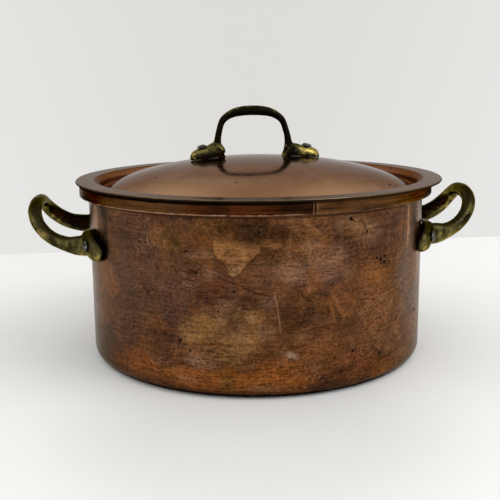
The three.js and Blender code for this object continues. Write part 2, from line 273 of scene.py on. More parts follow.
def line(start, end, steps):
    """Evenly spaced points from one place to another, without the last."""
    return np.linspace(start, end, steps, endpoint=False)


def turned(profile, bearings):
    """Surface of revolution: row i is the ring of profile point (radius, height) i, where
    x = r cos(bearing) and y = r sin(bearing)."""
    radius, height = profile[:, 0, None], profile[:, 1, None]
    x, y = radius * np.cos(bearings), radius * np.sin(bearings)
    return np.stack(np.broadcast_arrays(x, y, height), -1)


def full_turn(steps):
    return line(0, 2 * pi, steps)


def relief(points, wavelength, seed, waves=9):
    """Smooth random relief, about -1 to 1: a sum of plane sine waves in random directions."""
    random = np.random.default_rng(seed)
    way = random.normal(size=(waves, 3))
    stretch = random.uniform(0.7, 1.3, (waves, 1)) * 2 * pi / wavelength
    way *= stretch / np.linalg.norm(way, axis=1, keepdims=True)
    return np.sin(points @ way.T + random.uniform(0, 2 * pi, waves)).sum(-1) / waves ** 0.5 / 1.5


def skin(name, *grids):
    """Closed mesh. Each grid [row, column] is a row of closed rings; a fan closes each end ring,
    and points that coincide, as at a pole, are merged."""
    points, faces, count = [], [], 0
    for grid in grids:
        rows, columns = grid.shape[:2]
        number = count + np.arange(rows * columns).reshape(rows, columns)
        beside = np.roll(number, -1, axis=1)
        quads = np.stack([number[:-1], beside[:-1], beside[1:], number[1:]], -1).reshape(-1, 4)
        first, last = count + rows * columns, count + rows * columns + 1
        start = np.stack([beside[0], number[0], np.full(columns, first)], -1)
        end = np.stack([number[-1], beside[-1], np.full(columns, last)], -1)
        points += [grid.reshape(-1, 3), grid[[0, -1]].mean(axis=1)]
        faces += quads.tolist() + start.tolist() + end.tolist()
        count = last + 1
    mesh = bpy.data.meshes.new(name)
    mesh.from_pydata(np.concatenate(points).tolist(), [], faces)
    whole = bmesh.new()
    whole.from_mesh(mesh)
    bmesh.ops.remove_doubles(whole, verts=whole.verts, dist=1e-7)
    bmesh.ops.recalc_face_normals(whole, faces=whole.faces)
    whole.to_mesh(mesh)
    whole.free()
    mesh.shade_smooth()
    return mesh


def fit_piece(name, mesh, body, slot, nodes, *finishes):
    """Puts a finished mesh in the scene, on its body and in place of its nodes."""
    piece = bpy.data.objects.new(name, mesh)
    scene.collection.objects.link(piece)
    for finish in finishes:
        mesh.materials.append(finish)
    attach(piece, body)
    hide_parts(*nodes)
    return piece


def triples(items, name):
    """Three numbers of each vertex or face of a mesh, as an array."""
    numbers = np.empty(len(items) * 3)
    items.foreach_get(name, numbers)
    return numbers.reshape(-1, 3)


def paint(red, green, blue):
    """A colour given as screen values up to 255, as the light that it returns."""
    share = np.array([red, green, blue]) / 255
    light = np.where(share < 0.04045, share / 12.92, ((share + 0.055) / 1.055) ** 2.4)
    return (*light.tolist(), 1)


def shaken(place, spot, amount, scale, detail=2, roughness=0.5):
    """A place on the unrolled wall, moved each way by a noise of its own."""
    wave = place.noise(scale, detail, roughness, output="Color")
    wave = wave.vector("SUBTRACT", (0.5, 0.5, 0.5))
    return wave.vector("MULTIPLY_ADD", (amount, amount, 0), spot)


def wall_place(bearing, height):
    """Place on the unrolled wall in millimetres, from degrees off the front and a height."""
    return (radians(bearing) * wall_radius * to_mm, height, 0)


def from_lines(spot, places):
    """Distance from a chain of straight lines between places of the unrolled wall."""
    found = []
    for start, end in zip(places[:-1], places[1:]):
        start, end = np.array(wall_place(*start)), np.array(wall_place(*end))
        length = float(np.linalg.norm(end - start))
        run = (end - start) / length
        way = spot.vector("DOT_PRODUCT", run, output="Value") - float(start @ run)
        way = way.most(0).least(length)
        found.append(spot.apart(way.along(run).vector("ADD", start)))
    return reduce(Field.least, found)


def from_discs(spot, discs):
    """Distance from the edges of discs on the unrolled wall, less than zero inside them."""
    return reduce(Field.least, (
        spot.apart(wall_place(bearing, height)) - radius for bearing, height, radius in discs
    ))


def daubed(colour, daubs, spot, ragged, outer, inner):
    """A colour under soft ovals of the patch colours, which fade from the inner to the outer share
    of their size, with ragged edges."""
    for kind, bearing, height, half_wide, half_high, strength in daubs:
        middle = np.array(wall_place(bearing, height)) / (half_wide, half_high, 1)
        near = spot.stretched(1 / half_wide, 1 / half_high, 0).apart(middle) + ragged
        colour = (near.between(outer, inner) * strength).tint(colour, paint(*patch_colours[kind]))
    return colour


# colour, bearing in degrees from the front, height and half sizes in millimetres, and strength
patches = (
    ("purple", -38, 80, 34, 30, 0.75), ("purple", -46, 50, 32, 24, 0.75),
    ("purple", -27, 65, 18, 16, 0.45), ("purple", -62, 26, 26, 18, 0.6),
    ("dark", -13, 66, 13, 10, 0.35), ("dark", -17, 87, 10, 9, 0.35),
    ("olive", -26, 100, 12, 8, 0.75), ("olive", -14, 109, 16, 4, 0.4),
    # the dark patches 100 to 111 mm high at the front are painted shade under the band
    ("dark", -8, 107, 9, 4, 0.7), ("dark", 0, 108, 14, 8, 0.95),
    ("dark", 8, 106, 12, 7, 0.85), ("dark", 12, 111, 12, 5, 0.5),
    ("dark", -2, 100, 12, 9, 0.8), ("dark", 3, 91, 9, 6, 0.5),
    ("dark", -25.5, 100, 7, 5, 0.5), ("rose", -16, 91, 8, 5, 0.55),
    ("dark", 9, 92, 7, 5, 0.4), ("rose", -15, 81, 6, 4, 0.5),
    ("tan", 28, 79, 6, 5, 0.5), ("tan", 12.5, 40, 6, 5, 0.5),
    ("tan", 30, 108, 15, 6, 0.6), ("red", -53, 65, 10, 8, 0.65),
    ("red", -13, 74, 9, 6, 0.4), ("tan", -9, 62, 9, 6, 0.55),
    ("rose", 3.5, 62, 6, 5, 0.5), ("red", -65, 38, 10, 6, 0.45),
    ("gold", -14, 51, 12, 8, 0.7), ("gold", -19, 42, 12, 10, 0.85),
    ("gold", -3, 39, 10, 10, 0.85), ("gold", -1, 53, 9, 7, 0.6),
    ("gold", -10, 41, 9, 7, 0.45), ("rose", -18, 25, 13, 9, 0.75),
    ("gold", -9, 31, 12, 8, 0.75), ("amber", -17, 31, 15, 6, 0.55),
    ("amber", -27, 28, 8, 6, 0.5), ("tan", 3, 42, 7, 6, 0.55),
    ("rose", 3, 80, 10, 10, 0.25), ("dark", 10, 52, 11, 14, 0.65),
    ("dark", 9.5, 38, 8, 8, 0.6), ("dark", 0, 66, 12, 8, 0.3),
    ("rose", 10, 80, 10, 8, 0.8), ("rose", 17, 97, 8, 6, 0.7),
    ("tan", 35, 103, 12, 9, 0.6), ("rose", 21, 88, 14, 10, 0.55),
    ("purple", 21, 79, 9, 7, 0.5), ("amber", 39, 70, 15, 14, 0.8),
    ("amber", 38, 48, 16, 13, 0.6), ("dark", 28, 44, 14, 8, 0.35),
    ("amber", 18, 30, 17, 7, 0.7), ("grey", 54, 70, 12, 16, 0.7),
    ("grey", 58, 92, 12, 10, 0.6), ("grey", 57, 48, 12, 14, 0.6),
    # the orange patches low on the wall are the copper's own colour, lightened as a painted
    # reflection of the pale floor
    ("red", -44, 17, 26, 9, 0.7), ("orange_floor_sheen", -36, 12, 20, 7, 0.5),
    ("orange_floor_sheen", -20, 12, 20, 8, 1), ("orange_floor_sheen", -5, 13, 24, 9, 0.85),
    ("orange_floor_sheen", 9, 15, 18, 11, 0.75), ("tan", 3, 8, 12, 3, 0.6),
    ("tan", -22, 10, 9, 3, 0.5), ("dark", -2, 20, 9, 2.5, 0.4),
    ("red", 30, 18, 22, 9, 0.6), ("olive", -9, 10, 7, 7, 0.7),
    ("dark", 7, 30, 5, 4, 0.4), ("dark", 27, 15, 9, 4, 0.55),
    ("orange_floor_sheen", 44, 9, 12, 6, 0.6), ("scuff", 10.5, 29, 4, 2.5, 0.4),
)
patch_colours = {
    "purple": (92, 67, 56), "dark": (62, 40, 24), "olive": (106, 78, 42),
    "red": (128, 74, 44), "gold": (146, 106, 66), "rose": (138, 100, 78),
    "tan": (140, 103, 74), "grey": (116, 95, 86), "orange_floor_sheen": (154, 92, 42),
    "amber": (134, 86, 50), "pale": (176, 130, 98), "scuff": (196, 178, 162),
}
# heights of the stain in millimetres, with the bearings of its left and right edges there, which
# lie within this reach
stain_spans = (
    (78.8, -6.6, -6), (80.5, -8, -4.8), (84.3, -8.9, -3.9), (87.7, -10, -2.8),
    (90, -11.8, -0.9), (94, -12.8, 0.6), (99, -12.9, 1.4), (104, -12.6, 1.3),
)
stain_reach = 20
# places and radii of rubbed spots, full of fine scribbled lines
scribbled = (
    (-18, 25, 11), (-23, 37, 6), (-15, 50, 9), (-3, 40, 10), (-4, 55, 7), (-20, 82, 9),
    (-36, 102, 10), (-53, 65, 8), (-65, 38, 8), (9, 27, 6), (21, 85, 10), (38, 52, 13),
    (42, 36, 12), (10, 93, 8), (-32, 18, 10), (14, 15, 12),
)
# painted reflections: upright light and dark stripes by the handles, which the wall mirrors, given
# like the patches
stripes = (
    ("pale", -65, 102, 7, 17, 0.75),
    ("dark", -55.5, 100, 3.6, 20, 0.85),
    ("dark", -73, 100, 3, 16, 0.7),
    ("dark", 53.5, 104, 1.5, 16, 0.7),
    ("pale", 56.8, 102, 2.4, 18, 0.8),
    ("dark", 60.5, 100, 2, 17, 0.8),
    ("pale", 68, 90, 5, 34, 0.7),
)
# tone, half width, strength, and the bearings and heights that each scratch runs through
scratches = (
    ("light", 0.40, 0.38, ((4.8, 69), (5.5, 62), (5.9, 56), (6.4, 49), (6.8, 43.5))),
    ("dark", 0.40, 0.65, ((-11.1, 78.5), (-6.2, 74.2), (-0.7, 69), (3.8, 66.9))),
    ("dark", 0.45, 0.60, ((-12.8, 27.7), (-9, 28.3), (-5.2, 28.1))),
    ("dark", 0.35, 0.45, ((-23, 77.5), (-21.5, 75), (-20.3, 77.8))),
    ("dark", 0.35, 0.60, ((-17.5, 10.5), (-16, 13), (-14.8, 9.5))),
    ("dark", 0.35, 0.45, ((5.5, 17.5), (10.5, 16.8), (16, 19))),
    ("dark", 0.35, 0.60, (
        (28.9, 111), (31, 109), (32, 110.2), (34.1, 105.3), (34.7, 101.9), (34.2, 96),
    )),
    ("dark", 0.45, 0.60, ((39, 84.5), (41, 81), (42.4, 85))),
    ("dark", 0.45, 0.55, ((40.4, 86.5), (42.5, 80.5), (45, 83))),
)
# places and radii of pits, and of two round stains
pits = (
    (-18.1, 80.8, 0.8), (-6.6, 69.5, 0.6), (-23.7, 36.3, 0.8), (28.8, 111.4, 1.1),
    (41.3, 20.3, 1), (29.9, 26.3, 0.7), (65, 38, 1.3), (64.8, 31.3, 0.9), (64.8, 26.8, 0.7),
    (-52.5, 107.6, 1), (-35, 64.5, 0.6), (37.2, 18.7, 0.6), (0.6, 106, 0.6),
    (40.9, 82.7, 1.1), (43.1, 84.1, 0.8), (42.9, 80.3, 1.1), (45.3, 80.3, 0.8),
    (41.4, 79.8, 0.7), (39.4, 83.9, 0.7), (34.1, 105.3, 0.6), (34.7, 101.9, 0.6),
    (-20.5, 30.3, 0.5), (-11.5, 57, 0.4), (19.2, 12.1, 0.5),
)
rings = ((-53, 65, 8.5), (-65, 38, 7))

pot_finish, place = new_material("aged_copper")
around = place.bearing() * (wall_radius * to_mm)
spot = place.node("CombineXYZ", {"X": around, "Y": place.part("Z") * to_mm})
loose = shaken(place, spot, 16, 28, 3, 0.6)
near_spot = shaken(place, spot, 2.6, 150)
cloud = place.noise(15, 6, 0.6, 0.5)
mottle = place.noise(62, 8, 0.70, 0.7)
colour = (cloud * 0.5 + mottle * 0.5).ramp(
    (0.34, paint(66, 44, 32)), (0.46, paint(88, 57, 39)),
    (0.55, paint(108, 69, 42)), (0.68, paint(136, 94, 62)),
)
colour = daubed(colour, patches, loose, (mottle - 0.5) * 2.2, 1.35, 0.35)
# painted reflections: the light and dark stripes by the handles
colour = daubed(colour, stripes, near_spot, mottle - 0.5, 1.2, 0.5)

stain_place = shaken(place, spot, 2.4, 110)
stain_low, stain_high = stain_spans[0][0], stain_spans[-1][0]
stain_rise = stain_high - stain_low
span = (stain_place.part("Y") - stain_low) * (1 / stain_rise)
span = span.ramp(*(
    (
        (height - stain_low) / stain_rise,
        [(edge + stain_reach) / (2 * stain_reach) for edge in edges] + [0, 1],
    )
    for height, *edges in stain_spans
))
left_edge, right_edge = (span.part(side) * (2 * stain_reach) - stain_reach for side in "XY")
across = stain_place.part("X") / (radians(1) * wall_radius * to_mm)
stain_edge = (across - left_edge).least(right_edge - across)
stain_edge = (stain_edge * 2.1).least(stain_place.part("Y") - stain_low)
top_fade = spot.part("Y") + (mottle - 0.5) * 12 + (around + 25) * 0.15
top_fade = top_fade.between(104, 97.5)
stain_low_end = spot.part("Y").between(92, 80) * 0.12
stain_tone = mottle * 0.6 + cloud * 0.25 + stain_low_end + 0.08
stain_colour = stain_tone.ramp((0.4, paint(118, 78, 44)), (0.6, paint(158, 114, 76)))
colour = (stain_edge.between(-0.3, 0.7) * top_fade * 0.9).tint(colour, stain_colour)
stain_rim = abs(stain_edge).between(1.1, 0.2) * top_fade
colour = (stain_rim * 0.35).tint(colour, paint(58, 36, 22))
for bearing, height, radius in rings:
    edge = abs(near_spot.apart(wall_place(bearing, height)) - radius).between(1, 0.2)
    colour = (edge * 0.35).tint(colour, paint(150, 112, 84))

brushed = shaken(place, spot, 5, 40).stretched(0.018, 0.55, 0).noise(1, 6, 0.7)
fine_brushed = loose.stretched(0.06, 1, 0).noise(1, 3, 0.65)
slanting = loose.vector("DOT_PRODUCT", (-0.4, 0.92, 0), output="Value")
hatching = place.node("CombineXYZ", {"X": around * 0.06, "Y": slanting * 0.8})
hatching = hatching.noise(1, 3, 0.65)
grain = place.noise(460, 3, 0.8, 0.3)
lively = 0.95 + spot.part("Y").between(40, 22) * 0.2
level = (mottle - 0.5) * 1.3 + (brushed - 0.5) * 1.3 + (fine_brushed - 0.5) * 1.6
level = 0.80 + (level + (grain - 0.5) * 2.3) * lively
hatched = place.apart((0.09, -0.07, 0.045)).between(0.07, 0.02)
level = level + (hatching - 0.5) * (0.4 + hatched * 1.8)
warmth = place.noise(34, 4, 0.6, 0.4).ramp(
    (0.4, (1, 0.97, 1, 1)), (0.6, (1.02, 0.96, 0.76, 1))
)
colour = colour.vector("MULTIPLY", warmth).vector("MULTIPLY", level.most(0.25))

swirled = shaken(place, spot, 26, 60, 1)
scribble = swirled.stretched(0.10, 0.42, 0).noise(1, 2, 0.6)
rubbed = 0.07 + from_discs(loose, scribbled).between(5, -4) * 0.2
strokes = ((0.5, 0.026, paint(190, 150, 116)), (0.6, 0.020, paint(38, 23, 14)))
for contour, half_width, tone in strokes:
    stroke = abs(scribble - contour).between(half_width, 0.004)
    colour = (stroke * rubbed).tint(colour, tone)
grooves = brushed * 0.4 + fine_brushed * 0.2
for tone, half_width, strength, places in scratches:
    mark = from_lines(near_spot, places).between(half_width + 0.35, half_width - 0.25)
    shade = paint(168, 128, 96) if tone == "light" else paint(30, 18, 11)
    colour = (mark * strength).tint(colour, shade)
    grooves = grooves - mark * 0.8
pitted = from_discs(near_spot, pits).between(0.5, 0)
speckled = (place.cells(190) + grain * 0.3).between(0.26, 0.18)
speckled = speckled * place.noise(30, 2).between(0.53, 0.66)
holes = pitted.most(speckled * 0.75)
colour = (holes * 0.92).tint(colour, paint(20, 12, 8))
# painted shadow: a thin dark line on the wall just under the band
band_shadow = (spot.part("Y") + (mottle - 0.5) * 1.5).between(113.4, 114.4)
colour = (band_shadow * 0.65).tint(colour, paint(40, 24, 14))
# darker brown towards the base; the lowest few millimetres turn to black diffuse, a painted contact
# shadow against the floor
low = spot.part("Y") + (mottle - 0.5) * 3
colour = (low.between(7, 3) * 0.5).tint(colour, paint(60, 34, 16))
gloss = (0.27 + (mottle - 0.5) * 0.5 + holes * 0.3).most(0.16)
pot_metal = place.metal(colour, gloss, grooves - holes * 1.5, 0.00008, (0.78, 0.72, 0.66))
low.between(4.2, 2.4).shade(pot_metal, place.matt(paint(22, 14, 9))).close()

tin_finish, place = new_material("tin_lining")
wiped = place.noise(60, 6, 0.65, 0.5)
ground = place.stretched(40, 40, 900).noise(1, 4, 0.6)
colour = (wiped * 0.7 + ground * 0.3).ramp(
    (0.35, paint(112, 107, 99)), (0.5, paint(148, 144, 137)), (0.68, paint(172, 169, 163))
)
gloss = 0.34 + (wiped - 0.5) * 0.4
place.metal(colour, gloss, ground + wiped, 0.0001, (0.9, 0.9, 0.9)).close()

turn_radius = wall_radius - wall_sheet + rim_turn
turn_height = pot_height - rim_turn
rim_radius = wall_radius + rim_reach
edge_round = 0.0004
inner_corner = base_corner - wall_sheet
pot_profile = np.concatenate([
    line((0, 0), (wall_radius - base_corner, 0), 14),
    arc(wall_radius - base_corner, base_corner, base_corner, -pi / 2, 0, 14),
    line((wall_radius, base_corner), (wall_radius, turn_height), 60)[1:],
    arc(turn_radius, turn_height, rim_turn - wall_sheet, pi, pi / 2, 8),
    arc(rim_radius - edge_round, pot_height - wall_sheet + edge_round, edge_round, -pi / 2, 0, 4),
    arc(rim_radius - edge_round, pot_height - edge_round, edge_round, 0, pi / 2, 4),
    arc(turn_radius, turn_height, rim_turn, pi / 2, pi, 9),
    line((wall_radius - wall_sheet, turn_height), (wall_radius - wall_sheet, base_corner), 40)[1:],
    arc(wall_radius - base_corner, base_corner, inner_corner, 0, -pi / 2, 12),
    line((wall_radius - base_corner, wall_sheet), (0, wall_sheet), 12)[1:],
    [(0, wall_sheet)],
])
pot_grid = turned(pot_profile, full_turn(turns))
wall_share = (np.hypot(pot_grid[..., 0], pot_grid[..., 1]) / wall_radius).clip(0, 1) ** 6
sunk = wall_wave * (0.5 + 0.5 * relief(pot_grid, dent_length, 3)).clip(0, 1) * wall_share
from_rim = np.clip((pot_height - below_rim - pot_grid[..., 2]) / rim_fade, 0, 1)
sunk *= from_rim * np.clip(pot_grid[..., 2] / base_fade, 0, 1)
pot_grid[..., :2] *= 1 - (sunk / wall_radius)[..., None]
pot_mesh = skin("pot", pot_grid)
fit_piece("pot", pot_mesh, "pot", "pot_copper", ["pot_body"], pot_finish, tin_finish)
middle = triples(pot_mesh.polygons, "center")
spread = np.hypot(middle[:, 0], middle[:, 1]) - (wall_radius - base_corner)
from_corner = np.hypot(spread.clip(0), (base_corner - middle[:, 2]).clip(0))
inside = from_corner < base_corner - wall_sheet / 2
pot_mesh.polygons.foreach_set("material_index", inside.astype(np.int32))


# Band: a strip of copper brazed round the turned-out rim. Its lower edge is worn and nicked, with a
# painted highlight along it, and its two ends meet in one seam at the right of the front.
band_low, band_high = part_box("rim_band")
band_outer = band_high.x
band_sheet = 0.0015
band_inner = band_outer - band_sheet
band_edge, inner_edge = 0.00055, 0.0002
corner_steps, face_steps = 6, 8
seam_gap = 0.00028
seam_off_front = 16
nick_rise, nick_inward = 0.0006, 0.00025

band_tones = {
    "pale_brown": (92, 62, 40), "brown": (62, 41, 26),
    "red": (76, 38, 18), "black": (46, 26, 15),
}
# bearings along the front of the band, with the tone that begins there, and the arc that they lie
# in
band_blocks = (
    (-70, "pale_brown"), (-56, "brown"), (-46, "pale_brown"), (-24, "pale_brown"), (-17, "red"), (-11, "black"),
    (-6, "red"), (3, "red"), (7, "black"), (15, "black"), (17, "pale_brown"), (60, "pale_brown"),
    (72, "brown"),
)
block_arc = 160
band_finish, place = new_material("band_copper")
long_streak = place.stretched(22, 22, 700).noise(1, 5, 0.65)
blotch = place.noise(90, 7, 0.68, 0.5)
wander = (blotch - 0.5) * 10
bearing = place.bearing() * (180 / pi) + wander
stops = [(start / block_arc + 0.5, paint(*band_tones[tone])) for start, tone in band_blocks]
colour = (bearing / block_arc + 0.5).ramp(*stops)
band_level = 0.84 + (blotch - 0.5) * 1.7 + (long_streak - 0.5) * 3.4
colour = colour.vector("MULTIPLY", (0.92, 0.90, 0.72))
colour = colour.vector("MULTIPLY", band_level.most(0.15))
worn = place.noise(150, 4, 0.6)
# the lower edge is worn, with a painted highlight along it
to_edge = (place.part("Z") - band_low.z + (worn - 0.5) * 0.0024).between(0.0011, 0.0004)
edge_wear_and_highlight = to_edge * (0.3 + bearing.between(20, -10) * 0.45)
colour = edge_wear_and_highlight.tint(colour, paint(176, 136, 106))
seam_line = abs(abs(bearing - wander - seam_off_front) - 0.5).between(0.3, 0.1)
colour = (seam_line * 0.22).tint(colour, paint(176, 134, 100))
# painted shadow: the top of the band darkens under the lid's flange, more at the left and front,
# and is rougher there
under_flange = place.part("Z") + (worn - 0.5) * 0.0012
under_flange = under_flange.between(band_high.z - 0.0024, band_high.z - 0.0014)
shaded = under_flange * (0.45 + bearing.between(26, 4) * 0.5)
colour = shaded.tint(colour, paint(14, 8, 5))
gloss = 0.26 + (blotch - 0.5) * 0.3 + shaded * 0.4
place.metal(colour, gloss, long_streak + blotch, 0.00012, (0.45, 0.38, 0.32)).close()

section = np.concatenate([
    arc(band_outer - band_edge, band_low.z + band_edge, band_edge, -pi / 2, 0, corner_steps),
    arc(band_outer - band_edge, band_high.z - band_edge, band_edge, 0, pi / 2, corner_steps),
    arc(band_inner + inner_edge, band_high.z - inner_edge, inner_edge, pi / 2, pi, 3),
    arc(band_inner + inner_edge, band_low.z + inner_edge, inner_edge, pi, 1.5 * pi, 3),
])
outer_face = np.linspace(section[corner_steps - 1], section[corner_steps], face_steps)
section = np.insert(section, corner_steps, outer_face[1:-1], axis=0)
seam_bearing = radians(seam_off_front - 90)
half_gap = seam_gap / 2 / band_outer
bearings = np.linspace(seam_bearing + half_gap, seam_bearing + 2 * pi - half_gap, 2 * turns)
band_grid = np.swapaxes(turned(section, bearings), 0, 1)
lower = np.clip(1 - (band_grid[..., 2] - band_low.z) / (2 * band_edge), 0, 1)
nicks = np.clip(relief(band_grid, 0.004, 11) - 0.55, 0, 1)
nicks = nicks + 0.25 * np.clip(relief(band_grid, 0.018, 12), 0, 1)
band_grid[..., 2] += nick_rise * nicks * lower
band_grid[..., :2] *= 1 - (nick_inward * nicks * lower / band_outer)[..., None]
fit_piece("band", skin("band", band_grid), "pot", "pot_copper", ["rim_band"], band_finish)


# Side handles: cast brass loops. Each bar leaves the wall, narrows, turns up and round, and ends
# in two spade feet that are curved to the wall. Brass dulls to olive, blackens in hollows, and
# stays yellow where hands rub it. Their darker tops are painted shade and dark reflection, and
# their feet are painted darker where they meet the wall, as shadow.
loop_spread = 0.041
loop_half_depth = 0.0049
fit_gap = 0.0003
# name, bearing, tilt, height on the wall, reach, rise, half height of the bar
loop_places = (
    ("left", radians(182), radians(1), 0.0854, 0.0375, 0.0244, 0.0044),
    ("right", radians(7), radians(-0.3), 0.0872, 0.0363, 0.0255, 0.0048),
)
# lifts of the front and the rear arm of each, and how many times as tall the rear one is; they are
# full this far from the middle line, and the height at this share of the bar
arm_shifts = {"left": (-0.0009, 0.0020, 1.3), "right": (0.0006, -0.0004, 1.25)}
arm_run, arm_share = 0.03, 0.35
# shares of the spread, reach and rise along half the bar, from its foot to its middle
loop_path_shares = np.array([
    [1.17, -0.26, -0.06], [1.08, -0.12, -0.03], [0.995, 0.2, -0.015], [0.9, 0.41, 0.04],
    [0.805, 0.6, 0.14], [0.71, 0.775, 0.32], [0.6, 0.91, 0.555], [0.445, 0.985, 0.79],
    [0.24, 1, 0.95], [0, 1, 1],
])
# shares of its half height and half depth, from the foot to the middle
loop_height_shares = [1.4, 1.6, 1.6, 1.27, 1.12, 1.06, 1.04, 1.02, 1, 1.02, 1.03, 1.03]
loop_depth_shares = [1.16, 1.05, 1, 1, 1.02, 1.03]
foot_heel, foot_rivet, foot_toe = 0.0084, 0.0105, 0.0225
foot_half_width, foot_thickness = 0.0098, 0.0082
foot_middle, foot_droop = 0.0048, tan(radians(13))
# shares of a foot's length, half width and thickness, from its heel to its toe
loop_foot_shares = np.array([
    [0, 0.56, 0.36], [0.06, 0.68, 0.66], [0.14, 0.8, 0.9], [0.26, 0.91, 1.08],
    [0.44, 0.98, 1.02], [0.62, 0.95, 1], [0.74, 0.86, 0.96], [0.84, 0.74, 0.82],
    [0.92, 0.56, 0.66], [0.97, 0.38, 0.5], [1, 0.18, 0.3],
])
foot_roundness = 2.5
cast_voxel = 0.00045
cast_smoothing = 26
broad_lump, small_lump = 0.011, 0.005
loop_lumps = 0.00012


def through(places, steps):
    """Points spaced evenly along a smooth curve through places: between two of them, a cubic whose
    slope at each is half the way from its last neighbour to its next."""
    ends = np.concatenate([2 * places[:1] - places[1:2], places, 2 * places[-1:] - places[-2:-1]])
    t = np.linspace(0, 1, 24, endpoint=False)[:, None]
    a, b, c, d = ends[:-3, None], ends[1:-2, None], ends[2:-1, None], ends[3:, None]
    run = b + t * (c - a) / 2 + t ** 2 * (a - 2.5 * b + 2 * c - d / 2)
    run = run + t ** 3 * (1.5 * (b - c) + (d - a) / 2)
    run = np.concatenate([run.reshape(-1, places.shape[1]), places[-1:]])
    way = np.concatenate([[0], np.cumsum(np.linalg.norm(np.diff(run, axis=0), axis=1))])
    at = np.linspace(0, way[-1], steps)
    return np.stack([np.interp(at, way, column) for column in run.T], -1)


def swept(path, aside, half_wide, half_thick, columns=40):
    """Bar along a path. Ring i is centre + w cos(angle) side + t sin(angle) up, where side lies
    square to the path and to the aside direction."""
    along = np.gradient(path, axis=0)
    along /= np.linalg.norm(along, axis=1, keepdims=True)
    side = np.cross(along, aside)
    side /= np.linalg.norm(side, axis=1, keepdims=True)
    up = np.cross(side, along)
    angle = full_turn(columns)[None, :, None]
    wide = half_wide[:, None, None] * np.cos(angle) * side[:, None]
    return path[:, None] + wide + half_thick[:, None, None] * np.sin(angle) * up[:, None]


def spade(shares, half_width, thickness, length, rows=48, columns=56):
    """Foot as way along, way across and height: each ring is a flat sole under a superellipse whose
    half width and height follow the shares from heel to toe."""
    table = through(shares, rows)
    angle = np.linspace(0, pi, columns * 2 // 3)
    across = np.sign(np.cos(angle)) * np.abs(np.cos(angle)) ** (2 / foot_roundness)
    lift = np.sin(angle).clip(0, 1) ** (2 / foot_roundness)
    sole = np.linspace(-1, 1, columns // 3 + 2)[1:-1]
    across, lift = np.concatenate([across, sole]), np.concatenate([lift, 0 * sole])
    way = np.broadcast_to(table[:, :1] * length, (rows, len(across)))
    return way, table[:, 1:2] * half_width * across, table[:, 2:3] * thickness * lift


def cast(name, grids, lumps, seed):
    """One casting from overlapping surfaces: fused on a fine lattice, eased where they meet as
    molten metal is, and left slightly lumpy."""
    mesh = skin(name, *grids)
    rough = bpy.data.objects.new(name, mesh)
    scene.collection.objects.link(rough)
    fused = rough.modifiers.new("fused", "REMESH")
    fused.mode = "VOXEL"
    fused.voxel_size = cast_voxel
    eased = rough.modifiers.new("eased", "SMOOTH")
    eased.factor = 0.5
    eased.iterations = cast_smoothing
    whole = rough.evaluated_get(bpy.context.evaluated_depsgraph_get())
    made = bpy.data.meshes.new_from_object(whole)
    bpy.data.objects.remove(rough)
    made.name = name
    points, normals = triples(made.vertices, "co"), triples(made.vertex_normals, "vector")
    wave = 0.6 * relief(points, broad_lump, seed) + 0.4 * relief(points, small_lump, seed + 1)
    made.vertices.foreach_set("co", (points + normals * lumps * (wave - 1)[:, None]).ravel())
    made.shade_smooth()
    return made


def cast_brass(name, bright_facing, dark_facing, strength, lightened_below=0):
    """Dull cast brass: olive gold, with brown-black painted shade and dark reflection that grow
    from the bright to the dark facing of its skin, grime in hollows, and rubbed yellow places;
    below a height the painted shade eases, as a painted highlight."""
    finish, place = new_material(name)
    broad = place.noise(60, 4, 0.6, 0.6)
    small = place.noise(260, 6, 0.65, 0.3)
    skin_grain = place.noise(1300, 3, 0.6)
    facing = place.node("NewGeometry", output="Normal").part("Z")
    hollow = place.node("NewGeometry", output="Pointiness")
    # below this height the painted shade eases and the colour lifts: a painted highlight on the
    # feet
    low_part = place.part("Z").between(lightened_below, lightened_below - 0.008)
    dull = (broad * 0.62 + small * 0.38 + low_part * 0.01).ramp(
        (0.37, paint(26, 23, 12)), (0.46, paint(58, 53, 30)), (0.55, paint(94, 87, 50)),
        (0.63, paint(160, 141, 76)), (0.71, paint(214, 190, 112)),
    )
    # painted shade and dark reflection: the skin darkens by the way it faces
    facing_shade = facing + low_part * 0.36 + (broad - 0.5) * 1.2 + (small - 0.5) * 0.8
    colour = (facing_shade.between(bright_facing, dark_facing) * strength).tint(dull, paint(20, 15, 9))
    rubbed = (hollow + (small - 0.5) * 0.04).between(0.515, 0.56)
    colour = (rubbed * 0.5).tint(colour, paint(196, 174, 100))
    grime = (hollow + (small - 0.5) * 0.03).between(0.49, 0.445)
    colour = (grime * 0.9).tint(colour, paint(16, 12, 7))
    # painted shadow: the side handles' feet darken where they meet the wall
    wall_shadow = place.from_axis() + (small - 0.5) * 0.004
    wall_shadow = wall_shadow.between(wall_radius + 0.0038, wall_radius + 0.0012)
    wall_shadow = wall_shadow * place.part("Z").between(pot_height, pot_height - 0.01)
    colour = (wall_shadow * 0.8).tint(colour, paint(18, 13, 8))
    gloss = (0.20 + (small - 0.5) * 0.5).most(0.12)
    place.metal(colour, gloss, small + skin_grain * 0.3, 0.00014, (0.6, 0.56, 0.42)).close()
    return finish
